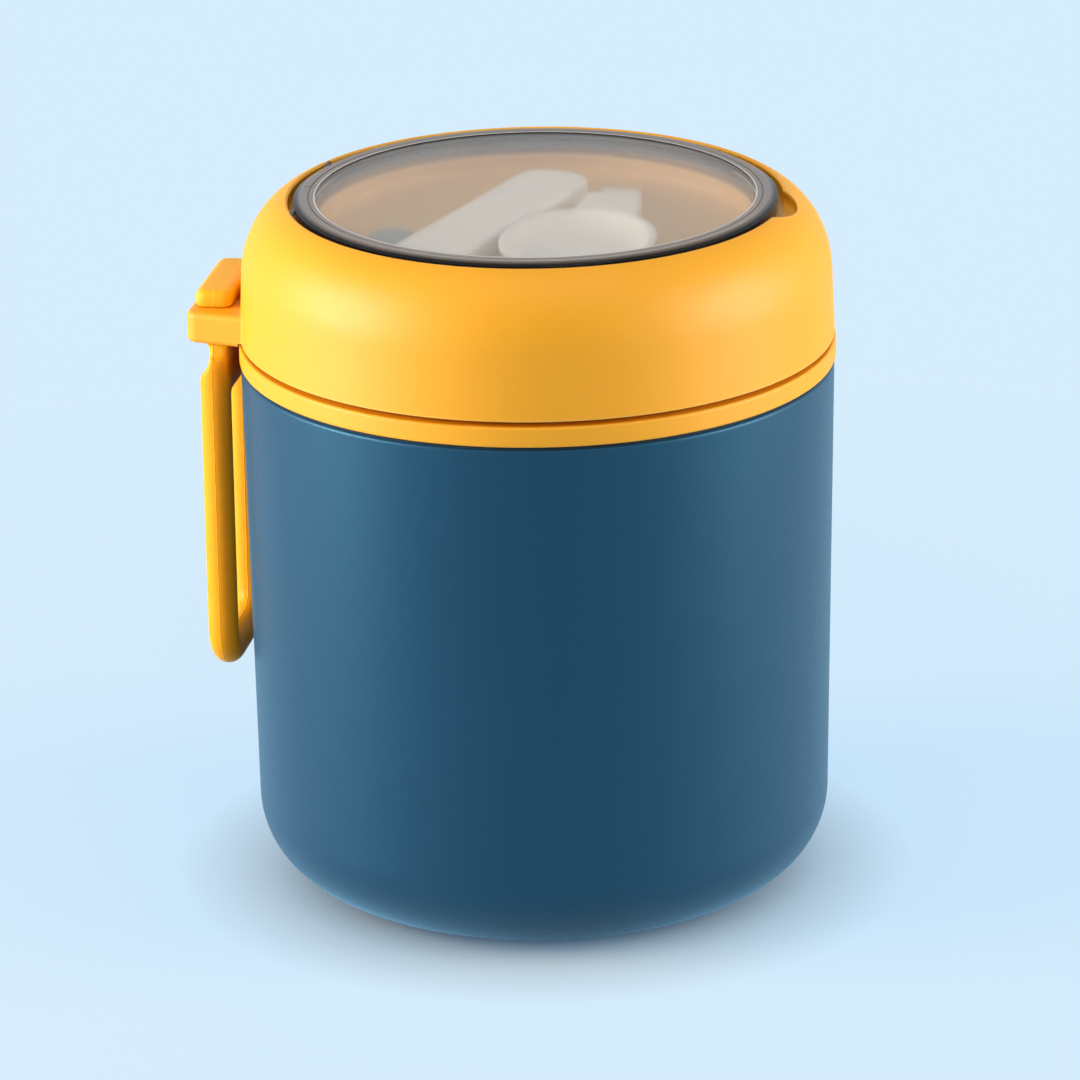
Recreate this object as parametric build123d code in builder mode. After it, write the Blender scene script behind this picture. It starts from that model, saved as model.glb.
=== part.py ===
from build123d import *
from math import acos, cos, degrees, radians, sin, sqrt
import os

# Insulated food jar, in millimetres. +Z is up and the origin is the middle of the face it stands on.
# The ear, the carry loop and the cover's hinge are at -X, and the finger notch is at +X.

# ---- Fits ----
running_gap = 0.3        # between pieces that move past each other
slot_gap = 0.1           # round the strap's stem in its slot
seat_gap = 0.1           # under a piece that only rests on its seat
seal_gap = 0.05          # either side of a silicone ring
foam_gap = 0.1
pin_gap = 0.05           # all round a pin in a turning bore
press_gap = 0.02         # all round a pin in the bore that holds it

# ---- Double-walled steel body ----
body_radius = 54.0       # at the top of the coloured wall
body_taper = 1.4         # the wall's radius shrinks by this much from its top to the base
corner_radius = 15.4     # round corner between wall and base
shoulder_height = 98.8   # top of the coloured wall
shoulder_width = 6.6     # from the wall in to the neck
shoulder_rounding = 1.2
outer_wall = 0.6
inner_wall = 0.5
neck_height = 15.3       # from the shoulder to the drinking mouth
neck_vacuum = 1.3        # space between the walls in the neck
neck_rounding = 1.0
lip_thickness = 0.6
vacuum_gap = 5.5         # from the outside of the wall to the inner pot
liner_height = 8.0       # underside of the inner pot
liner_rounding = 12.0
liner_shoulder = 7.0     # height over which the pot narrows to its neck
liner_shoulder_round = 5.0
foot_radius = body_radius - body_taper
liner_radius = body_radius - vacuum_gap
neck_radius = body_radius - shoulder_width
pot_neck_radius = neck_radius - outer_wall - neck_vacuum
mouth_radius = pot_neck_radius - inner_wall
mouth_height = shoulder_height + neck_height
neck_top = mouth_height - lip_thickness

# ---- Base ----
pad_proud = 0.5
pad_inset = 3.7          # of the pad's edge from where the round corner starts
pad_rounding = 0.4
pad_slack = 0.3          # round the pad, in the opening of the wall's foot
disc_thickness = 0.6
disc_overlap = 3.0       # of the disc on the wall's foot flange
dimple_radius = 8.0
dimple_depth = 2.0
exhaust_radius = 1.2
bead_radius = 3.2
bead_thickness = 1.0
getter_radius = 5.0
getter_thickness = 2.0
getter_place = 20.0
pad_radius = foot_radius - corner_radius - pad_inset
foot_opening = pad_radius + pad_slack
disc_height = pad_proud + outer_wall
disc_top = disc_height + disc_thickness
dimple_top = disc_height + dimple_depth

# ---- Collar and its gasket ----
gasket_thickness = 0.5
gasket_inset = 0.8       # of the gasket's edge, which leaves a dark line
gasket_width = 4.0
collar_proud = 0.3       # of the flange past the wall
flange_thickness = 3.7
flange_rounding = 0.5
collar_drop = 1.2        # from the mouth to the top of the collar
collar_chamfer = 1.6     # clears the rounded foot of the neck
collar_base = shoulder_height + gasket_thickness
flange_top = collar_base + flange_thickness
collar_top = mouth_height - collar_drop
flange_radius = body_radius + collar_proud

# ---- Lid, from the outside in ----
lid_gap = 1.0            # groove between the flange and the lid
lid_proud = 0.05         # of the lid's lower edge past the wall
lid_draft = 0.45         # the skirt's radius shrinks by this much up to the shoulder
lid_wall = 1.65
shoulder_reach = 11.7    # of the elliptical shoulder, inwards
shoulder_rise = 14.95    # of the elliptical shoulder, upwards
rim_width = 8.8          # from the top of the skirt in to the opening
rim_margin = 0.6         # that the shoulder's curve runs on inside the opening
edge_rounding = 0.4
rim_depth = 3.26         # from the highest point of the rim to the ledge under the cover
seal_bore_inset = 2.4    # from the opening in to the bore for the cover's seal
seal_bore_depth = 1.9
well_inset = 5.3         # from the opening in to the spoon's well
well_depth = 5.3         # from the ledge to the floor of the well
well_rounding = 1.5
floor_thickness = 1.5
roof_drop = 2.8          # from the ledge to the roof of the hollow round the well
roof_margin = 3.8        # of that hollow, outside the opening
foam_depth = 2.4         # between the inner lid's flange and the floor of the well
lid_base = flange_top + lid_gap
lid_radius = body_radius + lid_proud
lid_upper_radius = lid_radius - lid_draft
lid_inner_radius = lid_radius - lid_wall
opening_radius = lid_upper_radius - rim_width
seal_bore_radius = opening_radius - seal_bore_inset
well_radius = opening_radius - well_inset
well_outer_radius = well_radius + floor_thickness
roof_radius = opening_radius + roof_margin

# ---- Inner lid ----
skirt_wall = 1.2
skirt_inset = 0.8        # of the inner skirt above the lid's lower edge
plug_gap = 1.1           # between the insulating plug and the mouth
plug_wall = 1.5
plug_depth = 6.6         # of the plug below the mouth
plug_rounding = 2.0
retainer_size = 0.5      # of the bead that keeps the gasket on the plug
retainer_height = 0.8
lid_gasket_height = 1.4
lid_gasket_width = 4.0
plug_radius = mouth_radius - plug_gap
plug_inner_radius = plug_radius - plug_wall
plug_bottom = mouth_height - plug_depth
plug_floor = plug_bottom + plug_wall
flange_under = mouth_height + lid_gasket_height + 2 * seal_gap
liner_top = flange_under + plug_wall
skirt_inner_radius = lid_inner_radius - skirt_wall

# ---- Lid heights, which follow the inner lid ----
floor_under = liner_top + foam_depth
floor = floor_under + floor_thickness
ledge = floor + well_depth
cavity_roof = ledge - roof_drop
rim_height = ledge + rim_depth
ellipse_radius = lid_upper_radius - shoulder_reach
rim_turn = degrees(acos((opening_radius - rim_margin - ellipse_radius) / shoulder_reach))
shoulder_start = rim_height - shoulder_rise * sin(radians(rim_turn))

# ---- Thread ----
thread_starts = 3
thread_pitch = 4.0       # from one start to the next, along the axis
thread_arc = 110.0       # degrees that each start runs
thread_depth = 1.0       # of the collar's thread
lid_thread_depth = 0.9
thread_crest_gap = 0.3
thread_root_height = 1.8
thread_crest_height = 1.0
thread_flank_gap = 0.4
thread_bury = 0.3        # of a thread's root in the wall that carries it
thread_lead = thread_starts * thread_pitch
collar_radius = skirt_inner_radius - thread_crest_gap - thread_depth
# The collar's thread starts high enough that the lid's thread, which runs below it, clears the flange.
thread_start = flange_top + thread_pitch + thread_root_height / 2
thread_drop = (thread_root_height + thread_crest_height) / 2 + thread_flank_gap

# ---- Vent plug ----
vent_x, vent_y = -24.5, -10.5
vent_hole = 2.6          # radius of the hole in the well's floor
vent_bore = 1.6          # radius inside the tube below it
vent_fit = 0.08          # round stem and tail
vent_cap_radius = 4.4
vent_cap_height = 1.8
vent_cap_rounding = 0.7
vent_stem_overrun = 0.2  # of the stem below the floor
vent_tail_length = 6.5
vent_tube_wall = 1.3
vent_tube_radius = vent_bore + vent_tube_wall
stem_end = floor_under + vent_stem_overrun

# ---- Cover ----
cover_gap = 1.0          # from the cover's edge to the opening
cover_proud = 0.15       # of the cover's top above the lid's rim
cover_band = 3.1         # thickness of the rim band
band_width = 4.0         # of the rim band, seen from above
band_inner_width = 4.4   # of the rim band, seen from below
window_step = 0.2        # of the window below the band
window_thickness = 1.9
line_inset = 2.6         # of the fine line round the band, from the cover's edge
line_width = 0.25
line_depth = 0.15
parting_place = -1.2
cover_bevel_width = 1.4  # of the sloped top edge
cover_bevel_height = 0.6
cover_foot_rounding = 0.3
seal_slack = 0.3         # between the seal and its bore
cover_seal_width = 0.5
cover_seal_height = 1.0
cover_skirt_wall = 1.0
cover_skirt_drop = 1.3
cover_radius = opening_radius - cover_gap
window_radius = cover_radius - band_width
band_inner_radius = cover_radius - band_inner_width
cover_skirt_radius = seal_bore_radius - seal_slack - cover_seal_width
cover_top = rim_height + cover_proud
window_top = cover_top - window_step
window_under = window_top - window_thickness
band_under = cover_top - cover_band

# ---- Cover's hinge ----
hinge_inset = 2.2        # of the pin from the cover's edge
hinge_drop = 0.95        # of the pin below the cover's top
pin_radius = 0.38
pin_hold = 0.9           # of the pin in the lid, past the opening
pin_end_gap = 0.1
scallop_radius = 3.2     # round the pin, for the swing of the cover's back edge
scallop_half = 10.2
hinge_place = cover_radius - hinge_inset
hinge_height = cover_top - hinge_drop
hinge_chord = sqrt(opening_radius ** 2 - hinge_place ** 2)
pin_half = hinge_chord + pin_hold
hinge_axis = Plane((-hinge_place, 0, hinge_height), x_dir=(1, 0, 0), z_dir=(0, -1, 0))

# ---- Finger notch ----
notch_radius = 13.0
notch_margin = 2.8       # of the notch's far side, outside the opening
notch_depth = 3.0
notch_rounding = 1.1
notch_place = opening_radius + notch_margin - notch_radius

# ---- Ear ----
ear_length = 8.4         # from the lid's lower edge to the ear's tip
ear_bury = 4.05          # of the ear's root inside the skirt
ear_height = 4.9         # of the ear's top above the lid's lower edge
ear_drop = 0.9           # of its underside below that edge
ear_root_half = 16.3
ear_tip_half = 13.7
ear_corner = 2.4
ear_rounding = 1.0
ear_reach = lid_radius + ear_length
ear_root = lid_radius - ear_bury
ear_top = lid_base + ear_height
ear_under = lid_base - ear_drop

# ---- Carry strap ----
head_gap = 0.35          # from the lid to the strap's head
head_inset = 1.1         # of the head from the ear's tip
head_length = 22.0
head_height = 3.3
head_corner = 1.9
head_rounding = 1.3
stem_inset = 5.0         # of the stem's middle from the ear's tip
stem_width = 3.0
stem_length = 14.0
flex_inset = 5.8         # of the line where the strap flexes from the ear's tip
flex_drop = 3.6          # of that line below the lid's lower edge
flex_radius = 1.6
flex_half = 13.4
tab_gap = 0.95           # from the lid to the tab under the ear
tab_inset = 3.3          # of the tab from the ear's tip
tab_waist_drop = 0.7     # below the ear's underside
tab_bottom_drop = 1.2
loop_offset = 0.85       # of the loop's plane outside the flex line
loop_half = 12.05        # from the loop's middle to the centre of a leg
loop_drop = 58.55        # from the flex line to the centre of the lowest bar
loop_bend = 6.0
loop_radius = 2.8
leg_corner = 2.6         # of the web's corners, just under the leg's own radius
web_shoulder_drop = 1.3  # below the flex line
web_top_drop = 4.3
web_bottom_drop = 6.8
leg_overlap = 1.0        # of the legs in the web
head_outer = ear_reach - head_inset
head_inner = lid_radius + head_gap
stem_place = ear_reach - stem_inset
flex_place = ear_reach - flex_inset
flex_height = lid_base - flex_drop
tab_outer = ear_reach - tab_inset
tab_inner = lid_radius + tab_gap
tab_top = ear_under - seat_gap
tab_waist_height = ear_under - tab_waist_drop
tab_bottom = ear_under - tab_bottom_drop
loop_place = flex_place + loop_offset
loop_low = flex_height - loop_drop
web_bottom = flex_height - web_bottom_drop
web_top = flex_height - web_top_drop
web_shoulder = flex_height - web_shoulder_drop
strap_axis = Plane((-flex_place, 0, flex_height), x_dir=(1, 0, 0), z_dir=(0, -1, 0))

# ---- Two-part spoon ----
handle_x, handle_y = -8.4, -1.6
handle_angle = 17.0      # of the handle's long axis from +Y, towards +X at its far end
handle_clear = 18.0      # by which the handle is shorter than the well is wide
handle_width = 14.0
handle_height = 3.8
handle_corner = 5.5
handle_rounding = 0.9
socket_depth = 8.5
socket_clear = 0.2
bowl_clear = 4.0         # from the bowl's end to the well, along Y
bowl_half_width = 14.2
bowl_half_length = 19.5
bowl_height = 4.2
bowl_wall = 1.1
bowl_gap = 0.46          # from the bowl to the handle
bowl_sections = ((0, 0.62), (0.45, 0.9), (1.0, 1.0))   # share of height, share of outline
neck_shift = 1.7         # of neck and tongue from the bowl's middle, along X
neck_root_from = 11.0    # from the bowl's middle, along Y
neck_root_width = 14.0
neck_end_width = 10.0
spoon_neck_height = 3.6
tongue_clear = 16.0      # from the tongue's end to the well, along Y
tongue_length = 8.0
tongue_width = 7.2
tongue_height = 1.8
spoon_rounding = 0.8
spoon_rest = floor + seat_gap
handle_length = 2 * well_radius - handle_clear
# The bowl lies beside the handle, a gap away from its long edge.
across, along = cos(radians(handle_angle)), sin(radians(handle_angle))
handle_edge = handle_x * across - handle_y * along + handle_width / 2
bowl_reach = sqrt((bowl_half_width * across) ** 2 + (bowl_half_length * along) ** 2)
bowl_y = bowl_half_length + bowl_clear - well_radius
bowl_x = (handle_edge + bowl_gap + bowl_reach + bowl_y * along) / across
neck_x = bowl_x + neck_shift
neck_root = bowl_y + neck_root_from
tongue_end = well_radius - tongue_clear
neck_end = tongue_end - tongue_length


def lathe_face(*corners):
    """Half section in the XZ plane. Each corner is (radius, height) or (radius, height, rounding)."""
    points = [corner[:2] for corner in corners]
    roundings = [corner[2] if len(corner) > 2 else 0 for corner in corners]
    with BuildSketch(Plane.XZ) as section:
        with BuildLine():
            FilletPolyline(points, radius=roundings, close=True)
        make_face()
    return section.sketch


def thread_ridge(root_radius, reach, start_height, start_angle):
    """One helical ridge that stands out of root_radius by reach, which is negative for an inside thread."""
    bury = thread_bury if reach > 0 else -thread_bury
    rise = thread_lead * thread_arc / 360
    with BuildPart() as ridge:
        with BuildLine() as path:
            Helix(thread_lead, rise, root_radius)
        with BuildSketch(Plane.XZ):
            with BuildLine():
                Polyline(
                    (root_radius - bury, -thread_root_height / 2),
                    (root_radius + reach, -thread_crest_height / 2),
                    (root_radius + reach, thread_crest_height / 2),
                    (root_radius - bury, thread_root_height / 2),
                    close=True,
                )
            make_face()
        sweep(path=path.line, is_frenet=True)
    return ridge.part.moved(Location((0, 0, start_height), (0, 0, start_angle)))


def save(piece, name):
    """Label a finished piece and write it as its own STEP file."""
    piece.part.label = name
    export_step(piece.part, f"parts/{name}.step")


os.makedirs("parts", exist_ok=True)

# ---- Body ----
with BuildPart() as outer_shell:
    revolve(
        lathe_face(
            (foot_opening, pad_proud),
            (foot_radius, pad_proud, corner_radius),
            (body_radius, shoulder_height, shoulder_rounding),
            (neck_radius, shoulder_height, neck_rounding),
            (neck_radius, neck_top),
            (neck_radius - outer_wall, neck_top),
            (neck_radius - outer_wall, shoulder_height - outer_wall, neck_rounding + outer_wall),
            (body_radius - outer_wall, shoulder_height - outer_wall, shoulder_rounding - outer_wall),
            (foot_radius - outer_wall, disc_height, corner_radius - outer_wall),
            (foot_opening, disc_height),
        ),
        axis=Axis.Z,
    )
save(outer_shell, "outer_shell")

with BuildPart() as inner_liner:
    pot_shoulder = shoulder_height - liner_shoulder
    revolve(
        lathe_face(
            (0, liner_height),
            (liner_radius, liner_height, liner_rounding),
            (liner_radius, pot_shoulder, liner_shoulder_round),
            (pot_neck_radius, shoulder_height, liner_shoulder_round),
            (pot_neck_radius, neck_top),
            (neck_radius, neck_top),
            (neck_radius, mouth_height, lip_thickness / 3),
            (mouth_radius, mouth_height, lip_thickness / 3),
            (mouth_radius, shoulder_height, liner_shoulder_round),
            (liner_radius - inner_wall, pot_shoulder, liner_shoulder_round),
            (liner_radius - inner_wall, liner_height + inner_wall, liner_rounding - inner_wall),
            (0, liner_height + inner_wall),
        ),
        axis=Axis.Z,
    )
save(inner_liner, "inner_liner")

with BuildPart() as base_disc:
    revolve(
        lathe_face(
            (exhaust_radius, dimple_top),
            (dimple_radius, dimple_top),
            (dimple_radius, disc_height),
            (foot_opening + disc_overlap, disc_height),
            (foot_opening + disc_overlap, disc_top),
            (dimple_radius + disc_thickness, disc_top),
            (dimple_radius + disc_thickness, dimple_top + disc_thickness),
            (exhaust_radius, dimple_top + disc_thickness),
        ),
        axis=Axis.Z,
    )
save(base_disc, "base_disc")

with BuildPart() as seal_bead:
    revolve(
        lathe_face(
            (0, dimple_top - bead_thickness),
            (bead_radius, dimple_top - bead_thickness, bead_thickness / 2),
            (bead_radius, dimple_top),
            (exhaust_radius, dimple_top),
            (exhaust_radius, dimple_top + disc_thickness),
            (0, dimple_top + disc_thickness),
        ),
        axis=Axis.Z,
    )
save(seal_bead, "seal_bead")

with BuildPart() as getter:
    with BuildSketch(Plane.XY.offset(disc_top)):
        with Locations((getter_place, 0)):
            Circle(getter_radius)
    extrude(amount=getter_thickness)
    fillet(getter.faces().sort_by(Axis.Z)[-1].edges(), getter_thickness / 4)
save(getter, "getter")

with BuildPart() as base_pad:
    with BuildSketch():
        Circle(pad_radius)
    extrude(amount=disc_height)
    fillet(base_pad.faces().sort_by(Axis.Z)[0].edges(), pad_rounding)
save(base_pad, "base_pad")

with BuildPart() as collar_gasket:
    with BuildSketch(Plane.XY.offset(shoulder_height)):
        Circle(body_radius - gasket_inset)
        Circle(body_radius - gasket_inset - gasket_width, mode=Mode.SUBTRACT)
    extrude(amount=gasket_thickness)
save(collar_gasket, "collar_gasket")

with BuildPart() as collar:
    revolve(
        lathe_face(
            (neck_radius + collar_chamfer, collar_base),
            (flange_radius, collar_base, flange_rounding),
            (flange_radius, flange_top, flange_rounding),
            (collar_radius, flange_top, flange_rounding),
            (collar_radius, collar_top, flange_rounding),
            (neck_radius, collar_top),
            (neck_radius, collar_base + collar_chamfer),
        ),
        axis=Axis.Z,
    )
    for start in range(thread_starts):
        add(thread_ridge(collar_radius, thread_depth, thread_start, 360 * start / thread_starts))
save(collar, "collar")

# ---- Lid ----
# The ear's underside passes just outside the collar's flange.
with BuildPart() as ear:
    with BuildSketch(Plane.XY.offset(ear_under)):
        with BuildLine():
            FilletPolyline(
                (-ear_root, ear_root_half),
                (-ear_reach, ear_tip_half),
                (-ear_reach, -ear_tip_half),
                (-ear_root, -ear_root_half),
                radius=(0, ear_corner, ear_corner, 0),
                close=True,
            )
        make_face()
    extrude(amount=ear_top - ear_under)
    outer_edges = [edge for edge in ear.edges() if edge.center().X < -lid_radius - 1]
    fillet([edge for edge in outer_edges if abs(edge.tangent_at(0.5).Z) < 0.5], ear_rounding)
    with BuildSketch(Plane.XY.offset(ear_under)):
        Circle(flange_radius + running_gap)
    extrude(amount=ear_drop, mode=Mode.SUBTRACT)

with BuildPart() as notch:
    with BuildSketch(Plane.XY.offset(rim_height - notch_depth)):
        with Locations((notch_place, 0)):
            Circle(notch_radius)
    extrude(amount=2 * notch_depth)
    fillet(notch.faces().sort_by(Axis.Z)[0].edges(), notch_rounding)

with BuildPart() as lid_shell:
    with BuildSketch(Plane.XZ):
        with BuildLine():
            wall = Polyline(
                (0, rim_height),
                (0, lid_base),
                (lid_radius, lid_base),
                (lid_upper_radius, shoulder_start),
            )
            shoulder = EllipticalCenterArc(
                (ellipse_radius, shoulder_start), shoulder_reach, shoulder_rise, 0, arc_size=rim_turn
            )
            Line(shoulder @ 1, wall @ 0)
        make_face()
    revolve(axis=Axis.Z)
    add(ear.part)
    # Hollow for the inner lid and the foam
    revolve(
        lathe_face(
            (0, lid_base),
            (lid_inner_radius, lid_base),
            (lid_inner_radius, liner_top),
            (roof_radius, cavity_roof),
            (well_outer_radius, cavity_roof),
            (well_outer_radius, floor_under),
            (0, floor_under),
        ),
        axis=Axis.Z,
        mode=Mode.SUBTRACT,
    )
    # Well for the spoon and bore for the cover's seal
    revolve(
        lathe_face(
            (0, floor),
            (well_radius, floor, well_rounding),
            (well_radius, ledge - seal_bore_depth),
            (seal_bore_radius, ledge - seal_bore_depth),
            (seal_bore_radius, rim_height),
            (0, rim_height),
        ),
        axis=Axis.Z,
        mode=Mode.SUBTRACT,
    )
    with BuildSketch(Plane.XY.offset(ledge)):
        Circle(opening_radius)
    extrude(amount=rim_height, mode=Mode.SUBTRACT)
    fillet(lid_shell.edges().sort_by(Axis.Z)[-1], edge_rounding)
    add(notch.part, mode=Mode.SUBTRACT)
    # Hinge: a scallop in the ledge for the cover's back edge, then the bore that holds the pin
    with BuildSketch(hinge_axis):
        Circle(scallop_radius)
        with Locations((0, ledge - hinge_height)):
            Rectangle(
                2 * scallop_radius, scallop_radius, align=(Align.CENTER, Align.MAX), mode=Mode.INTERSECT
            )
    extrude(amount=scallop_half, both=True, mode=Mode.SUBTRACT)
    with BuildSketch(hinge_axis):
        Circle(pin_radius + press_gap)
    extrude(amount=pin_half + pin_end_gap, both=True, mode=Mode.SUBTRACT)
    with BuildSketch(Plane.XY.offset(floor)):
        with Locations((vent_x, vent_y)):
            Circle(vent_hole)
    extrude(amount=-floor_thickness, mode=Mode.SUBTRACT)
    with BuildSketch(Plane.XY.offset(ear_under)):
        with Locations((-stem_place, 0)):
            Rectangle(stem_width + 2 * slot_gap, stem_length + 2 * slot_gap)
    extrude(amount=ear_top - ear_under, mode=Mode.SUBTRACT)
save(lid_shell, "lid_shell")

with BuildPart() as lid_liner:
    revolve(
        lathe_face(
            (0, plug_bottom),
            (plug_radius, plug_bottom, plug_rounding),
            (plug_radius, mouth_height - retainer_height - retainer_size),
            (plug_radius + retainer_size, mouth_height - retainer_height),
            (plug_radius + retainer_size, mouth_height),
            (plug_radius, mouth_height),
            (plug_radius, flange_under),
            (skirt_inner_radius, flange_under),
            (skirt_inner_radius, lid_base + skirt_inset),
            (lid_inner_radius, lid_base + skirt_inset),
            (lid_inner_radius, liner_top),
            (plug_inner_radius, liner_top),
            (plug_inner_radius, plug_floor),
            (0, plug_floor),
        ),
        axis=Axis.Z,
    )
    with BuildSketch(Plane.XY.offset(plug_bottom)):
        with Locations((vent_x, vent_y)):
            Circle(vent_tube_radius)
    extrude(amount=floor_under - plug_bottom)
    with BuildSketch(Plane.XY.offset(plug_bottom)):
        with Locations((vent_x, vent_y)):
            Circle(vent_bore)
    extrude(amount=floor_under - plug_bottom, mode=Mode.SUBTRACT)
    for start in range(thread_starts):
        add(
            thread_ridge(
                skirt_inner_radius, -lid_thread_depth, thread_start - thread_drop, 360 * start / thread_starts
            )
        )
save(lid_liner, "lid_liner")

with BuildPart() as lid_insulation:
    revolve(
        lathe_face(
            (0, plug_floor + foam_gap),
            (plug_inner_radius - foam_gap, plug_floor + foam_gap),
            (plug_inner_radius - foam_gap, liner_top + foam_gap),
            (lid_inner_radius - 2 * foam_gap, liner_top + foam_gap),
            (roof_radius - 2 * foam_gap, cavity_roof - foam_gap),
            (well_outer_radius + foam_gap, cavity_roof - foam_gap),
            (well_outer_radius + foam_gap, floor_under - foam_gap),
            (0, floor_under - foam_gap),
        ),
        axis=Axis.Z,
    )
    with BuildSketch(Plane.XY.offset(plug_floor)):
        with Locations((vent_x, vent_y)):
            Circle(vent_tube_radius + foam_gap)
    extrude(amount=cavity_roof - plug_floor, mode=Mode.SUBTRACT)
save(lid_insulation, "lid_insulation")

with BuildPart() as lid_gasket:
    with BuildSketch(Plane.XY.offset(mouth_height + seal_gap)):
        Circle(plug_radius + seal_gap + lid_gasket_width)
        Circle(plug_radius + seal_gap, mode=Mode.SUBTRACT)
    extrude(amount=lid_gasket_height)
save(lid_gasket, "lid_gasket")

with BuildPart() as vent_plug:
    with Locations((vent_x, vent_y)):
        add(
            revolve(
                lathe_face(
                    (0, stem_end - vent_tail_length),
                    (vent_bore - vent_fit, stem_end - vent_tail_length),
                    (vent_bore - vent_fit, stem_end),
                    (vent_hole - vent_fit, stem_end),
                    (vent_hole - vent_fit, floor + seat_gap),
                    (vent_cap_radius, floor + seat_gap),
                    (vent_cap_radius, floor + seat_gap + vent_cap_height, vent_cap_rounding),
                    (0, floor + seat_gap + vent_cap_height),
                ),
                axis=Axis.Z,
                mode=Mode.PRIVATE,
            )
        )
save(vent_plug, "vent_plug")

# ---- Cover ----
with BuildPart() as cover:
    revolve(
        lathe_face(
            (0, window_under),
            (band_inner_radius, window_under),
            (band_inner_radius, band_under),
            (cover_skirt_radius - cover_skirt_wall, band_under),
            (cover_skirt_radius - cover_skirt_wall, band_under - cover_skirt_drop),
            (cover_skirt_radius, band_under - cover_skirt_drop),
            (cover_skirt_radius, band_under),
            (cover_radius, band_under, cover_foot_rounding),
            (cover_radius, cover_top - cover_bevel_height),
            (cover_radius - cover_bevel_width, cover_top),
            (window_radius, cover_top),
            (window_radius, window_top),
            (0, window_top),
        ),
        axis=Axis.Z,
    )
    with BuildSketch(Plane.XY.offset(cover_top)):
        Circle(cover_radius - line_inset)
        Circle(cover_radius - line_inset - line_width, mode=Mode.SUBTRACT)
    extrude(amount=-line_depth, mode=Mode.SUBTRACT)
    with BuildSketch(Plane.XY.offset(cover_top)):
        with Locations((-(window_radius + cover_radius) / 2, parting_place)):
            Rectangle(band_width, line_width)
    extrude(amount=-line_depth, mode=Mode.SUBTRACT)
    with BuildSketch(hinge_axis):
        Circle(pin_radius + pin_gap)
    extrude(amount=pin_half, both=True, mode=Mode.SUBTRACT)
save(cover, "cover")

with BuildPart() as cover_seal:
    with BuildSketch(Plane.XY.offset(band_under - (cover_skirt_drop + cover_seal_height) / 2)):
        Circle(cover_skirt_radius + cover_seal_width)
        Circle(cover_skirt_radius, mode=Mode.SUBTRACT)
    extrude(amount=cover_seal_height)
save(cover_seal, "cover_seal")

with BuildPart() as cover_pin:
    with BuildSketch(hinge_axis):
        Circle(pin_radius)
    extrude(amount=pin_half, both=True)
save(cover_pin, "cover_pin")

# ---- Spoon ----


def bowl_form(height, wall):
    """Elliptical dish that grows with height. The wall is taken off its outline all round."""
    with BuildPart() as form:
        for rise, share in bowl_sections:
            with BuildSketch(Plane.XY.offset(spoon_rest + wall + rise * height)):
                with Locations((bowl_x, bowl_y)):
                    Ellipse(share * bowl_half_width - wall, share * bowl_half_length - wall)
        loft()
    return form.part


with BuildPart() as spoon_bowl:
    with BuildSketch(Plane.XY.offset(spoon_rest)):
        with BuildLine():
            Polyline(
                (neck_x - neck_root_width / 2, neck_root),
                (neck_x + neck_root_width / 2, neck_root),
                (neck_x + neck_end_width / 2, neck_end),
                (neck_x - neck_end_width / 2, neck_end),
                close=True,
            )
        make_face()
    extrude(amount=spoon_neck_height)
    fillet(spoon_bowl.edges().filter_by(Axis.Z), spoon_rounding)
    fillet(spoon_bowl.faces().sort_by(Axis.Z)[-1].edges(), spoon_rounding)
    with BuildSketch(Plane.XY.offset(spoon_rest)):
        with Locations((neck_x, (neck_end + tongue_end) / 2)):
            RectangleRounded(tongue_width, tongue_end - neck_end + 2 * spoon_rounding, spoon_rounding)
    extrude(amount=tongue_height)
    add(bowl_form(bowl_height, 0))
    add(bowl_form(bowl_height, bowl_wall), mode=Mode.SUBTRACT)
save(spoon_bowl, "spoon_bowl")

with BuildPart() as spoon_handle:
    with BuildSketch(Plane.XY.offset(spoon_rest)):
        with Locations(Location((handle_x, handle_y, 0), (0, 0, -handle_angle))):
            RectangleRounded(handle_width, handle_length, handle_corner)
    extrude(amount=handle_height)
    fillet(spoon_handle.faces().sort_by(Axis.Z)[-1].edges(), handle_rounding)
    # Socket that takes the bowl's tongue when the spoon is put together
    with BuildSketch(Plane.XY.offset(spoon_rest + (handle_height - tongue_height) / 2 - socket_clear)):
        with Locations(Location((handle_x, handle_y, 0), (0, 0, -handle_angle))):
            with Locations((0, (socket_depth - handle_length) / 2)):
                Rectangle(tongue_width + 2 * socket_clear, socket_depth)
    extrude(amount=tongue_height + 2 * socket_clear, mode=Mode.SUBTRACT)
save(spoon_handle, "spoon_handle")

# ---- Strap ----
with BuildPart() as strap_head:
    with BuildSketch(Plane.XY.offset(ear_top)):
        with Locations((-(head_inner + head_outer) / 2, 0)):
            RectangleRounded(head_outer - head_inner, head_length, head_corner)
    extrude(amount=head_height)
    fillet(strap_head.faces().sort_by(Axis.Z)[-1].edges(), head_rounding)
    with BuildSketch(Plane.XY.offset(tab_waist_height)):
        with Locations((-stem_place, 0)):
            Rectangle(stem_width, stem_length)
    extrude(amount=ear_top - tab_waist_height)
    with BuildSketch(Plane.XZ):
        with BuildLine():
            Polyline(
                (-tab_outer, tab_top),
                (-tab_inner, tab_top),
                (-flex_place + flex_radius, tab_waist_height),
                (-flex_place + flex_radius, tab_bottom),
                (-flex_place - flex_radius, tab_bottom),
                (-flex_place - flex_radius, tab_waist_height),
                close=True,
            )
        make_face()
    extrude(amount=flex_half, both=True)
    with BuildSketch(strap_axis):
        Circle(flex_radius + running_gap)
    extrude(amount=flex_half, both=True, mode=Mode.SUBTRACT)
save(strap_head, "strap_head")

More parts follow.
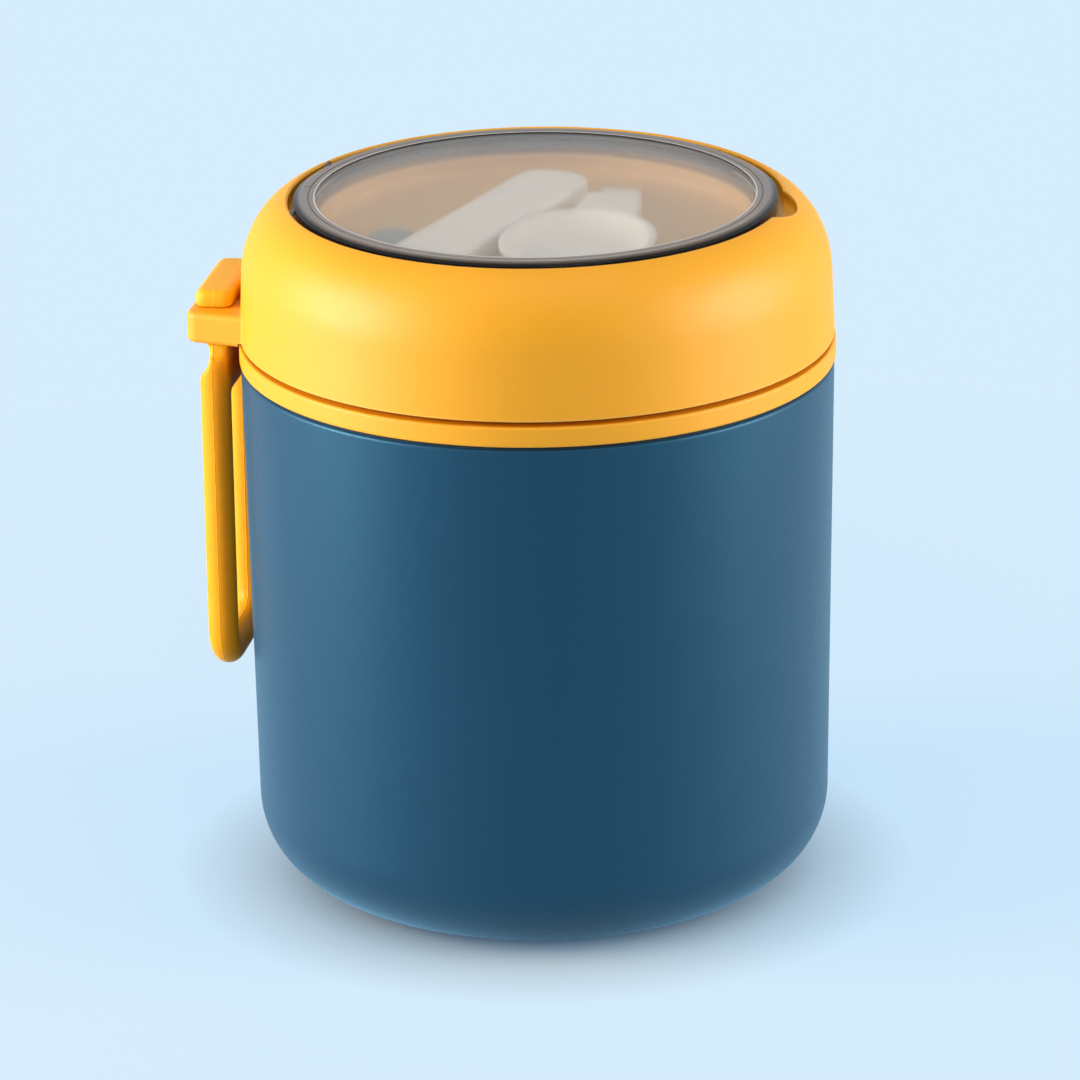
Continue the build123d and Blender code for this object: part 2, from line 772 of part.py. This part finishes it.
with BuildPart() as strap_loop:
    with BuildSketch(Plane.XY.offset(web_bottom)):
        with Locations((-loop_place, 0)):
            RectangleRounded(2 * loop_radius, 2 * (loop_half + loop_radius), leg_corner)
    extrude(amount=flex_height - web_bottom)
    with BuildSketch(Plane.XZ):
        with BuildLine():
            Polyline(
                (-loop_place - loop_radius, web_bottom),
                (-loop_place - loop_radius, web_top),
                (-flex_place - flex_radius, web_shoulder),
                (-flex_place - flex_radius, flex_height),
                (-flex_place + flex_radius, flex_height),
                (-flex_place + flex_radius, web_shoulder),
                (-loop_place + loop_radius, web_top),
                (-loop_place + loop_radius, web_bottom),
                close=True,
            )
        make_face()
    extrude(amount=2 * loop_half, both=True, mode=Mode.INTERSECT)
    with BuildSketch(strap_axis):
        Circle(flex_radius)
    extrude(amount=flex_half, both=True)
    with BuildLine(Plane.YZ.offset(-loop_place)) as loop_path:
        FilletPolyline(
            (loop_half, web_bottom + leg_overlap),
            (loop_half, loop_low),
            (-loop_half, loop_low),
            (-loop_half, web_bottom + leg_overlap),
            radius=loop_bend,
        )
    with BuildSketch(Plane.XY.offset(web_bottom + leg_overlap)):
        with Locations((-loop_place, loop_half)):
            Circle(loop_radius)
    sweep(path=loop_path.line)
save(strap_loop, "strap_loop")
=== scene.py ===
"""Insulated food jar: coated pot, screw lid with a spoon well and clear cover, soft carry strap."""
import math

import bmesh
import bpy
from mathutils import Matrix, Vector


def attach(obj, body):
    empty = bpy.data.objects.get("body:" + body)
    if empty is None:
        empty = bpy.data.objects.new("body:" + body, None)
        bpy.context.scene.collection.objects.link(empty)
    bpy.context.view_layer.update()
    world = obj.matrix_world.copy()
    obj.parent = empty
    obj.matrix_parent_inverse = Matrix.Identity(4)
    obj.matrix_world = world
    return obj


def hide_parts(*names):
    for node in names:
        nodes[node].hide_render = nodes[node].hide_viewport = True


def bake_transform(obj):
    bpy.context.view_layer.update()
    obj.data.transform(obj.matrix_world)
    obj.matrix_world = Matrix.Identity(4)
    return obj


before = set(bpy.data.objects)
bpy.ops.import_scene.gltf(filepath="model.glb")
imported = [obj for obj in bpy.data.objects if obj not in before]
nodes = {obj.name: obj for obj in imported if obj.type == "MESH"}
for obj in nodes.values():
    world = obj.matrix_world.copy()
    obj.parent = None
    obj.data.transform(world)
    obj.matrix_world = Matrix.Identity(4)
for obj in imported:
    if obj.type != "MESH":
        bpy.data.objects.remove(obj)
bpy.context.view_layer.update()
MM = 0.001
VIEW_TURN = 10.0  # degrees that the camera stands round the jar, from straight in front


# ---------------------------------------------------------------- colours
def srgb(red, green, blue):
    """A colour written in 0-255 display values, as the linear value that a shader takes."""
    display = (red / 255, green / 255, blue / 255)
    return tuple(c / 12.92 if c <= 0.04045 else ((c + 0.055) / 1.055) ** 2.4 for c in display) + (1.0,)


def shade(color, factor):
    return tuple(min(1.0, c * factor) for c in color[:3]) + (1.0,)


PALE_BLUE = srgb(214, 237, 253)
JAR_BLUE = srgb(0, 33, 61)
YELLOW = srgb(245, 168, 8)
# Painted highlight: the pale yellow laid along the lid's and collar's sharp edges.
HIGHLIGHT_EDGE_YELLOW = srgb(255, 226, 130)
# Painted shade: the muted yellow inside the spoon well.
SHADED_WELL_YELLOW = srgb(228, 184, 112)
# Painted shade and painted light on the one strap material: its loop, then its head.
SHADED_LOOP_YELLOW = srgb(250, 168, 12)
LIT_HEAD_YELLOW = srgb(243, 181, 30)


# ---------------------------------------------------------------- camera
def place_camera():
    """Camera with a long lens, a little above the jar, looking down at it and slightly rolled."""
    turn, pitch, roll = math.radians(VIEW_TURN), math.radians(19.51), math.radians(-0.855)
    distance, height, side = 1119.09 * MM, 459.65 * MM, -0.10 * MM
    frame_pixels, focal_pixels, sensor = 1080, 6451.9, 36.0
    right = Vector((math.cos(turn), math.sin(turn), 0))
    ahead = Vector((-math.sin(turn), math.cos(turn), 0))
    up = ahead * math.sin(pitch) + Vector((0, 0, math.cos(pitch)))
    view = ahead * math.cos(pitch) - Vector((0, 0, math.sin(pitch)))
    rolled_right = right * math.cos(roll) + up * math.sin(roll)
    rolled_up = -right * math.sin(roll) + up * math.cos(roll)
    lens = bpy.data.cameras.new("view")
    lens.sensor_fit, lens.sensor_width = "HORIZONTAL", sensor
    lens.lens = focal_pixels / frame_pixels * sensor
    lens.clip_start, lens.clip_end = 0.05, 20.0
    camera = bpy.data.objects.new("view", lens)
    bpy.context.scene.collection.objects.link(camera)
    place = right * side - ahead * distance + Vector((0, 0, height))
    facing = Matrix((rolled_right, rolled_up, -view)).transposed().to_4x4()
    camera.matrix_world = Matrix.Translation(place) @ facing
    bpy.context.scene.camera = camera


# ---------------------------------------------------------------- node trees
class Graph:
    """Adds nodes to one tree. Each input takes a socket to link, or a plain value."""

    def __init__(self, tree):
        self.tree = tree

    def add(self, kind, feeds=None, **settings):
        node = self.tree.nodes.new(kind)
        for key, value in settings.items():
            setattr(node, key, value)
        for key, feed in (feeds or {}).items():
            self.give(node.inputs[key], feed)
        return node

    def give(self, socket, feed):
        if isinstance(feed, bpy.types.NodeSocket):
            self.tree.links.new(feed, socket)
        else:
            socket.default_value = feed

    def math(self, operation, first, second=0.0):
        return self.add("ShaderNodeMath", {0: first, 1: second}, operation=operation).outputs[0]

    def plus(self, first, second):
        return self.math("ADD", first, second)

    def less(self, first, second):
        return self.math("SUBTRACT", first, second)

    def times(self, first, second):
        return self.math("MULTIPLY", first, second)

    def spread(self, value, low, high, out_low, out_high):
        """Map value from low..high to out_low..out_high."""
        feeds = {"Value": value, "From Min": low, "From Max": high, "To Min": out_low, "To Max": out_high}
        return self.add("ShaderNodeMapRange", feeds).outputs["Result"]

    def tint(self, factor, first, second):
        """The first colour at factor 0, the second at 1."""
        feeds = {"Factor": factor, 6: first, 7: second}
        return self.add("ShaderNodeMix", feeds, data_type="RGBA").outputs[2]

    def choose(self, factor, first, second):
        """The first shader at factor 0, the second at 1."""
        return self.add("ShaderNodeMixShader", {0: factor, 1: first, 2: second}).outputs[0]

    def looking(self):
        """1 for a ray of sight: straight, through a clear piece or off a glossy one."""
        rays = self.add("ShaderNodeLightPath").outputs
        direct = self.math("MAXIMUM", rays["Is Camera Ray"], rays["Is Transmission Ray"])
        return self.math("MAXIMUM", direct, rays["Is Glossy Ray"])


class Finish(Graph):
    """One procedural finish laid out on the piece's own coordinates."""

    def __init__(self, name):
        self.material = bpy.data.materials.new(name)
        self.material.use_nodes = True
        super().__init__(self.material.node_tree)
        self.shader = self.tree.nodes["Principled BSDF"]
        self.output = self.tree.nodes["Material Output"]
        self.place = self.add("ShaderNodeTexCoord").outputs["Object"]

    def set(self, **values):
        """Link or fix the shader's sockets. A name's underscores stand for spaces."""
        for key, value in values.items():
            self.give(self.shader.inputs[key.replace("_", " ")], value)

    def noise(self, scale, detail=2.0, source=None):
        feeds = {"Vector": source or self.place, "Scale": scale, "Detail": detail}
        return self.add("ShaderNodeTexNoise", feeds).outputs["Fac"]

    def clouded(self, scale, color, amount):
        """A colour that drifts a little lighter and darker over the surface."""
        drift = self.spread(self.noise(scale, 3), 0.32, 0.68, 0, 1)
        return self.tint(drift, shade(color, 1 - amount), shade(color, 1 + amount))

    def grained(self, scale, low, high):
        """Roughness that varies at the grain's scale."""
        self.set(Roughness=self.spread(self.noise(scale), 0.3, 0.7, low, high))

    def bump(self, height, strength, distance=0.1 * MM, edge=0.0):
        """Relief from a height, over edges that catch the light as if rounded by edge metres."""
        feeds = {"Strength": strength, "Distance": distance, "Height": height}
        if edge:
            feeds["Normal"] = self.rounded(edge)
        self.set(Normal=self.add("ShaderNodeBump", feeds).outputs["Normal"])

    def rounded(self, width):
        """The surface's direction, turned along sharp edges as if they were rounded."""
        return self.add("ShaderNodeBevel", {"Radius": width}, samples=4).outputs["Normal"]

    def edges(self, width, amount):
        """Up to amount along the sharp edges, within width metres, and 0 elsewhere."""
        flat = self.add("ShaderNodeNewGeometry").outputs["Normal"]
        feeds = {0: self.rounded(width), 1: flat}
        agreement = self.add("ShaderNodeVectorMath", feeds, operation="DOT_PRODUCT").outputs["Value"]
        return self.spread(agreement, 0.80, 0.98, amount, 0)

    def split(self):
        """The x, y and z of the piece's own coordinates."""
        return self.add("ShaderNodeSeparateXYZ", {0: self.place}).outputs

    def height(self):
        return self.split()[2]

    def radius(self):
        """Distance from the jar's axis."""
        x, y, _ = self.split()
        flat = self.add("ShaderNodeCombineXYZ", {"X": x, "Y": y}).outputs[0]
        return self.add("ShaderNodeVectorMath", {0: flat}, operation="LENGTH").outputs["Value"]


# ---------------------------------------------------------------- finishes
def coated_steel():
    """Matte soft-touch coat over steel: a fine orange peel, and a pale bloom towards grazing angles."""
    f = Finish("matte_blue_coat")
    f.set(Base_Color=f.clouded(34, JAR_BLUE, 0.07))
    f.grained(1100, 0.41, 0.49)
    f.set(Specular_IOR_Level=0.95, Specular_Tint=srgb(134, 222, 255))
    f.set(Sheen_Weight=0.55, Sheen_Roughness=0.45, Sheen_Tint=srgb(136, 204, 240))
    f.bump(f.plus(f.noise(2600), f.noise(420, 3)), 0.10, 0.12 * MM)
    return f.material


def moulded_yellow():
    """Satin polypropylene, a touch translucent, with softened edges under a painted highlight, and a muted,
    paler yellow painted in the spoon well as shade.
    """
    well_edge, well_foot, change = 44.5 * MM, 120.0 * MM, 0.2 * MM
    f = Finish("satin_yellow_plastic")
    # Painted shade: inside the spoon well the yellow is muted and paler.
    inside = f.spread(f.radius(), well_edge, well_edge + change, 1, 0)
    above = f.spread(f.height(), well_foot, well_foot + change, 0, 1)
    skin = f.tint(f.times(inside, above), f.clouded(24, YELLOW, 0.025), SHADED_WELL_YELLOW)
    # Painted highlight: a pale yellow along the sharp edges.
    f.set(Base_Color=f.tint(f.edges(0.5 * MM, 0.8), skin, HIGHLIGHT_EDGE_YELLOW))
    f.grained(900, 0.49, 0.55)
    f.set(Specular_IOR_Level=0.55)
    f.set(Subsurface_Weight=0.06, Subsurface_Scale=1.2 * MM, Subsurface_Radius=(1.0, 0.5, 0.1))
    f.bump(f.noise(3000), 0.05, edge=0.3 * MM)
    return f.material


def soft_yellow():
    """Silicone of the carry strap: a softer gloss, the mould's parting line, and painted light: the head
    paler as if lit from above, the loop a warmer orange for its shade.
    """
    loop_top, head_foot, line_half = 98.0 * MM, 100.0 * MM, 0.16 * MM
    f = Finish("soft_yellow_silicone")
    # Painted light and shade: the head above is paler as if lit, the loop below a warmer orange as if
    # shaded.
    head = f.spread(f.height(), loop_top, head_foot, 0, 1)
    f.set(Base_Color=f.tint(head, f.clouded(60, SHADED_LOOP_YELLOW, 0.03), f.clouded(60, LIT_HEAD_YELLOW, 0.03)))
    f.grained(800, 0.44, 0.52)
    f.set(Specular_IOR_Level=0.22)
    f.set(Subsurface_Weight=0.5, Subsurface_Scale=3.5 * MM, Subsurface_Radius=(1.0, 0.5, 0.1))
    across = f.add("ShaderNodeAttribute", attribute_name="parting").outputs["Fac"]
    ridge = f.spread(f.math("ABSOLUTE", across), 0, line_half, 1, 0)
    f.bump(f.plus(f.times(ridge, 1.6), f.times(f.noise(2400), 0.12)), 0.5, 0.15 * MM)
    return f.material


def smoke_clear(window_edge, chamfer):
    """Smoke-tinted clear plastic: milky satin window, polished dark band, near-black outer wall."""
    f = Finish("smoke_clear_plastic")
    radius = f.radius()
    band = f.spread(radius, window_edge, window_edge + 0.2 * MM, 0, 1)
    # A fine pale ring is painted at the window's edge as a highlight, and the band darkens from its chamfer
    # outwards.
    off_line = f.math("ABSOLUTE", f.less(radius, window_edge + 0.15 * MM))
    line = f.spread(off_line, 0.12 * MM, 0.2 * MM, 1, 0)
    outwards = f.spread(radius, chamfer, chamfer + 0.9 * MM, 0, 1)
    rim = f.tint(outwards, srgb(138, 127, 119), srgb(16, 15, 15))
    pale = f.tint(band, srgb(204, 197, 190), rim)
    f.set(Base_Color=f.tint(line, pale, srgb(236, 232, 228)))
    f.set(Roughness=f.spread(band, 0, 1, 0.125, 0.07))
    f.set(Transmission_Weight=f.spread(band, 0, 1, 0.96, 0.2))
    f.set(IOR=1.15, Sheen_Weight=0.18, Sheen_Roughness=0.35, Sheen_Tint=srgb(255, 248, 240))
    # Light from the lamps passes straight through, dimmed more by the band than by the window.
    lamps = f.add("ShaderNodeLightPath").outputs["Is Shadow Ray"]
    dimming = f.tint(band, srgb(250, 246, 240), srgb(120, 108, 98))
    veil = f.add("ShaderNodeBsdfTransparent", {"Color": dimming}).outputs[0]
    f.give(f.output.inputs["Surface"], f.choose(lamps, f.shader.outputs[0], veil))
    return f.material


def plain(name, color, roughness):
    """A moulded finish with slight colour variation, for the smaller pieces."""
    clouds, grain, relief = 100, 1200, 2400
    f = Finish(name)
    f.set(Base_Color=f.clouded(clouds, color, 0.04))
    f.grained(grain, roughness - 0.03, roughness + 0.03)
    f.bump(f.noise(relief), 0.05)
    return f.material


def turned_steel():
    """Steel with fine lines that run round the jar's axis."""
    f = Finish("brushed_steel")
    rings = f.add("ShaderNodeCombineXYZ", {"X": f.radius(), "Z": f.height()}).outputs[0]
    lines = f.noise(5200, 3, rings)
    f.set(Base_Color=f.clouded(30, srgb(206, 205, 202), 0.03), Metallic=1.0)
    f.set(Roughness=f.spread(lines, 0.3, 0.7, 0.22, 0.36))
    f.bump(lines, 0.12, 0.05 * MM)
    return f.material


def ribbed_rubber():
    """Base pad with fine moulded rings."""
    angle_per_metre = 3900.0  # of the wave whose crests are the rings
    f = Finish("base_rubber")
    f.set(Base_Color=f.clouded(90, srgb(52, 54, 58), 0.08))
    f.grained(1500, 0.62, 0.72)
    f.bump(f.math("SINE", f.times(f.radius(), angle_per_metre)), 0.35, 0.2 * MM)
    return f.material


def open_foam():
    """White foam with small open cells."""
    f = Finish("white_foam")
    f.set(Base_Color=f.clouded(300, srgb(235, 230, 220), 0.05), Roughness=0.92)
    cells = f.add("ShaderNodeTexVoronoi", {"Vector": f.place, "Scale": 900}).outputs["Distance"]
    f.bump(cells, 0.6, 0.3 * MM)
    return f.material


def dress(node, material):
    mesh = nodes[node].data
    mesh.materials.clear()
    mesh.materials.append(material)


# ---------------------------------------------------------------- rule-made shapes
class Recipe(Graph):
    """A Geometry Nodes tree whose sizes are named inputs."""

    def __init__(self, name, sizes):
        super().__init__(bpy.data.node_groups.new(name, "GeometryNodeTree"))
        self.name, self.sizes, self.keys = name, sizes, {}
        face = self.tree.interface
        face.new_socket("Geometry", in_out="OUTPUT", socket_type="NodeSocketGeometry")
        for label, value in sizes.items():
            kind = "NodeSocketInt" if isinstance(value, int) else "NodeSocketFloat"
            self.keys[label] = face.new_socket(label, in_out="INPUT", socket_type=kind).identifier
        self.given = self.add("NodeGroupInput").outputs
        self.result = self.add("NodeGroupOutput").inputs[0]

    def by_index(self, choices, kind):
        """A field that takes each point's own choice."""
        node = self.add("GeometryNodeIndexSwitch", data_type=kind)
        for _ in range(len(choices) - 2):
            node.index_switch_items.new()
        self.give(node.inputs[0], self.add("GeometryNodeInputIndex").outputs[0])
        for slot, choice in enumerate(choices, 1):
            self.give(node.inputs[slot], choice)
        return node.outputs[0]

    def section(self, corners, steps):
        """Closed outline through (across, up, rounding) corners, each rounded in steps."""
        line = self.add("GeometryNodeMeshLine", {"Count": len(corners)}).outputs[0]
        spots = [self.add("ShaderNodeCombineXYZ", {"X": a, "Y": b}).outputs[0] for a, b, _ in corners]
        feeds = {"Geometry": line, "Position": self.by_index(spots, "VECTOR")}
        moved = self.add("GeometryNodeSetPosition", feeds).outputs[0]
        curve = self.add("GeometryNodeMeshToCurve", {"Mesh": moved}).outputs[0]
        loop = self.add("GeometryNodeSetSplineCyclic", {"Geometry": curve, "Cyclic": True}).outputs[0]
        rounding = self.by_index([r for _, _, r in corners], "FLOAT")
        feeds = {"Curve": loop, "Count": steps, "Radius": rounding, "Limit Radius": True}
        return self.add("GeometryNodeFilletCurve", feeds, mode="POLY").outputs[0]

    def make(self, solid, material):
        """Finish the tree, run it once and return its plain mesh object."""
        real = self.add("GeometryNodeRealizeInstances", {"Geometry": solid}).outputs[0]
        done = self.add("GeometryNodeSetMaterial", {"Geometry": real, "Material": material}).outputs[0]
        self.give(self.result, done)
        piece = bpy.data.objects.new(self.name, bpy.data.meshes.new(self.name))
        bpy.context.scene.collection.objects.link(piece)
        modifier = piece.modifiers.new("recipe", "NODES")
        modifier.node_group = self.tree
        for label, value in self.sizes.items():
            modifier[self.keys[label]] = value
        ready = piece.evaluated_get(bpy.context.evaluated_depsgraph_get())
        mesh = bpy.data.meshes.new_from_object(ready)
        piece.modifiers.remove(modifier)
        piece.data = mesh
        mesh.materials.clear()
        mesh.materials.append(material)
        return piece


def smooth_outwards(mesh, crease):
    """Close doubles, point the faces outwards and smooth all but creases of that many degrees."""
    form = bmesh.new()
    form.from_mesh(mesh)
    bmesh.ops.remove_doubles(form, verts=form.verts, dist=0.002 * MM)
    bmesh.ops.recalc_face_normals(form, faces=form.faces)
    if form.calc_volume(signed=True) < 0:
        bmesh.ops.reverse_faces(form, faces=form.faces)
    form.to_mesh(mesh)
    form.free()
    mesh.shade_smooth()
    mesh.set_sharp_from_angle(angle=math.radians(crease))


def turned_wall():
    """The coloured steel wall, turned from its section."""
    r = Recipe("coated_wall", {
        "Foot radius": 52.6 * MM,
        "Wall radius": 54.0 * MM,
        "Corner radius": 15.4 * MM,
        "Base height": 0.5 * MM,
        "Foot opening": 33.8 * MM,
        "Shoulder height": 98.8 * MM,
        "Shoulder rounding": 0.7 * MM,
        "Neck radius": 47.4 * MM,
        "Neck rounding": 1.0 * MM,
        "Neck top": 113.5 * MM,
        "Sheet": 0.6 * MM,
        "Path radius": 20.0 * MM,
        "Corner steps": 20,
        "Turn steps": 192,
    })
    g = r.given
    foot, base = g["Foot radius"], g["Base height"]
    wall, shoulder = g["Wall radius"], g["Shoulder height"]
    neck, top = g["Neck radius"], g["Neck top"]
    opening, sheet = g["Foot opening"], g["Sheet"]
    # Out from the foot's opening, up to the neck's top, then back down on the inside of the sheet
    corners = [
        (opening, base, 0.0),
        (foot, base, g["Corner radius"]),
        (wall, shoulder, g["Shoulder rounding"]),
        (neck, shoulder, g["Neck rounding"]),
        (neck, top, 0.0),
        (r.less(neck, sheet), top, 0.0),
        (r.less(neck, sheet), r.less(shoulder, sheet), r.plus(g["Neck rounding"], sheet)),
        (r.less(wall, sheet), r.less(shoulder, sheet), r.less(g["Shoulder rounding"], sheet)),
        (r.less(foot, sheet), r.plus(base, sheet), r.less(g["Corner radius"], sheet)),
        (opening, r.plus(base, sheet), 0.0),
    ]
    # The section is laid out from the path that it is swept along, and upside down to it.
    path = g["Path radius"]
    hung = [(r.less(a, path), r.times(b, -1.0), rounding) for a, b, rounding in corners]
    section = r.section(hung, g["Corner steps"])
    feeds = {"Resolution": g["Turn steps"], "Radius": path}
    ring = r.add("GeometryNodeCurvePrimitiveCircle", feeds).outputs[0]
    feeds = {"Curve": ring, "Profile Curve": section}
    solid = r.add("GeometryNodeCurveToMesh", feeds).outputs[0]
    wall = r.make(solid, coated_steel())
    smooth_outwards(wall.data, crease=32)
    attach(wall, "jar")
    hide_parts("outer_shell")


# ---------------------------------------------------------------- soft and rounded pieces
def merged_copy(name, sources, extra=()):
    """One mesh object from copies of the solids, with further blocks given as (low corner, high corner)."""
    form = bmesh.new()
    for source in sources:
        form.from_mesh(nodes[source].data)
    bmesh.ops.remove_doubles(form, verts=form.verts, dist=0.001 * MM)
    for low, high in extra:
        for vert in bmesh.ops.create_cube(form, size=1.0)["verts"]:
            vert.co = Vector([(a + b) / 2 + c * (b - a) for a, b, c in zip(low, high, vert.co)])
    mesh = bpy.data.meshes.new(name)
    form.to_mesh(mesh)
    form.free()
    piece = bpy.data.objects.new(name, mesh)
    bpy.context.scene.collection.objects.link(piece)
    return piece


def melt(piece, voxel, rounds):
    """Fuse a piece into one skin and soften its edges."""
    skin = piece.modifiers.new("skin", "REMESH")
    skin.mode, skin.voxel_size = "VOXEL", voxel
    soften = piece.modifiers.new("soften", "SMOOTH")
    soften.factor, soften.iterations = 0.5, rounds
    ready = piece.evaluated_get(bpy.context.evaluated_depsgraph_get())
    mesh = bpy.data.meshes.new_from_object(ready)
    piece.modifiers.clear()
    piece.data = mesh
    mesh.shade_smooth()


def finish_piece(piece, material, body, slot, *stands_for):
    """Dress a piece, attach it to its body if it has one, and hide the parts that it stands for. One without
    a body is left unattached.
    """
    piece.data.materials.clear()
    piece.data.materials.append(material)
    if body:
        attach(piece, body)
    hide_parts(*stands_for)


def carry_strap():
    """The strap as one soft piece, fused from its head, its loop and a block at its waist under the ear."""
    loop_middle = 57.5 * MM  # out from the jar's axis, where the mould parts
    waist = ((-58.3 * MM, -13.3 * MM, 99.4 * MM), (-55.0 * MM, 13.3 * MM, 102.4 * MM))
    strap = merged_copy("carry_strap", ("strap_head", "strap_loop"), (waist,))
    melt(strap, voxel=0.4 * MM, rounds=9)
    parting = strap.data.attributes.new("parting", "FLOAT", "POINT")
    for vert, value in zip(strap.data.vertices, parting.data):
        value.value = vert.co.x + loop_middle
    finish_piece(strap, soft_yellow(), None, "yellow_soft", "strap_head", "strap_loop")
    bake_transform(strap)


def spoon_halves(white):
    """The plug-together spoon, with every edge rounded as moulded plastic is."""
    for name, node, body in (("spoon_head", "spoon_bowl", "bowl"), ("spoon_grip", "spoon_handle", "handle")):
        half = merged_copy(name, (node,))
        melt(half, voxel=0.3 * MM, rounds=6)
        finish_piece(half, white, body, "white_plastic", node)


# ---------------------------------------------------------------- set
def pale_surroundings():
    """Pale blue to look at, and a softer, warmer light on the jar."""
    world = bpy.data.worlds.new("studio")
    bpy.context.scene.world = world
    world.use_nodes = True
    world.node_tree.nodes.clear()
    g = Graph(world.node_tree)
    seen = g.add("ShaderNodeBackground", {"Color": PALE_BLUE}).outputs[0]
    soft = g.add("ShaderNodeBackground", {"Color": srgb(250, 240, 230), "Strength": 0.28}).outputs[0]
    g.add("ShaderNodeOutputWorld", {"Surface": g.choose(g.looking(), soft, seen)})


def pale_floor():
    """Floor that takes the jar's shadows and fades to an even pale blue further out."""
    half = 6.0
    kept = (0.62, 0.80, 0.94)    # share of its red, green and blue that the floor keeps in shade
    lamp_light = 1.08            # what the lamps and the surroundings bring to the open floor
    touching = (0.0, 0.03, 0.08, 1.0)
    touch_distance, touch_power = 20 * MM, 0.7
    fade_start, fade_end = 0.09, 0.30
    mesh = bpy.data.meshes.new("floor")
    corners = [(-half, -half, 0), (half, -half, 0), (half, half, 0), (-half, half, 0)]
    mesh.from_pydata(corners, [], [(0, 1, 2, 3)])
    floor = bpy.data.objects.new("floor", mesh)
    bpy.context.scene.collection.objects.link(floor)
    material = bpy.data.materials.new("pale_floor")
    material.use_nodes = True
    material.node_tree.nodes.clear()
    g = Graph(material.node_tree)
    # The part that stays in shade is a glow, which darkens only where the jar meets the floor.
    open_space = g.add("ShaderNodeAmbientOcclusion", {"Distance": touch_distance}).outputs["AO"]
    shaded = tuple(c * k for c, k in zip(PALE_BLUE, kept)) + (1.0,)
    glow = g.tint(g.math("POWER", open_space, touch_power), touching, shaded)
    # The part that the lamps bring is matte, so shadows take it away.
    matte = tuple(c * (1 - k) / lamp_light for c, k in zip(PALE_BLUE, kept)) + (1.0,)
    lit = g.add("ShaderNodeAddShader", {
        0: g.add("ShaderNodeBsdfDiffuse", {"Color": matte}).outputs[0],
        1: g.add("ShaderNodeEmission", {"Color": glow}).outputs[0],
    }).outputs[0]
    place = g.add("ShaderNodeTexCoord").outputs["Object"]
    reach = g.add("ShaderNodeVectorMath", {0: place}, operation="LENGTH").outputs["Value"]
    feeds = {"Value": reach, "From Min": fade_start, "From Max": fade_end}
    fade = g.add("ShaderNodeMapRange", feeds, interpolation_type="SMOOTHSTEP").outputs["Result"]
    even = g.add("ShaderNodeEmission", {"Color": PALE_BLUE}).outputs[0]
    bounce = g.add("ShaderNodeBsdfDiffuse", {"Color": srgb(200, 214, 226)}).outputs[0]
    surface = g.choose(g.looking(), bounce, g.choose(fade, lit, even))
    g.add("ShaderNodeOutputMaterial", {"Surface": surface})
    mesh.materials.append(material)


def softbox(name, azimuth, elevation, distance, width, height, power):
    """Area light that faces the jar. Azimuth is degrees from the camera, positive to its right."""
    aim = Vector((0, 0, 70 * MM))
    angle, rise = math.radians(VIEW_TURN - 90 + azimuth), math.radians(elevation)
    level = math.cos(rise)
    place = Vector((math.cos(angle) * level, math.sin(angle) * level, math.sin(rise))) * distance + aim
    light = bpy.data.lights.new(name, "AREA")
    light.shape, light.size, light.size_y = "RECTANGLE", width, height
    light.energy = power
    lamp = bpy.data.objects.new(name, light)
    bpy.context.scene.collection.objects.link(lamp)
    lamp.location = place
    lamp.rotation_euler = (aim - place).to_track_quat("-Z", "Y").to_euler()


def build_set():
    """Pale surroundings and floor, a large light at either side and a weak one from above."""
    pale_surroundings()
    pale_floor()
    softbox("left_box", azimuth=-79, elevation=11, distance=0.9, width=0.5, height=0.6, power=13.2)
    softbox("right_box", azimuth=81, elevation=11, distance=0.9, width=0.5, height=0.6, power=8.5)
    softbox("top_box", azimuth=10, elevation=72, distance=1.0, width=0.8, height=0.8, power=2.4)
    bpy.context.scene.view_settings.view_transform = "Standard"


# ---------------------------------------------------------------- the jar
place_camera()
build_set()
turned_wall()

yellow = moulded_yellow()
for node in ("collar", "lid_shell", "lid_liner"):
    dress(node, yellow)
carry_strap()
spoon_halves(plain("white_plastic", srgb(240, 237, 232), 0.4))
dress("cover", smoke_clear(window_edge=39.8 * MM, chamfer=42.3 * MM))
steel = turned_steel()
for node in ("inner_liner", "base_disc", "seal_bead", "getter"):
    dress(node, steel)
# Painted shade: the steel hinge pin is coloured dark brown, like the shade in the gap round it.
dress("cover_pin", plain("dark_pin", srgb(74, 66, 58), 0.5))
dress("base_pad", ribbed_rubber())
# The collar gasket is real. It is coloured near-black, as painted shade, so the line under the collar reads
# as a shaded gap.
dress("collar_gasket", plain("black_gasket", srgb(18, 20, 22), 0.6))
dress("lid_gasket", plain("pale_silicone", srgb(205, 208, 206), 0.5))
# The cover seal is real. Its dark smoky grey is partly painted shade, darkening the back of the well under
# the cover.
dress("cover_seal", plain("smoky_silicone", srgb(112, 102, 94), 0.45))
dress("vent_plug", plain("grey_blue_silicone", srgb(146, 150, 156), 0.5))
dress("lid_insulation", open_foam())
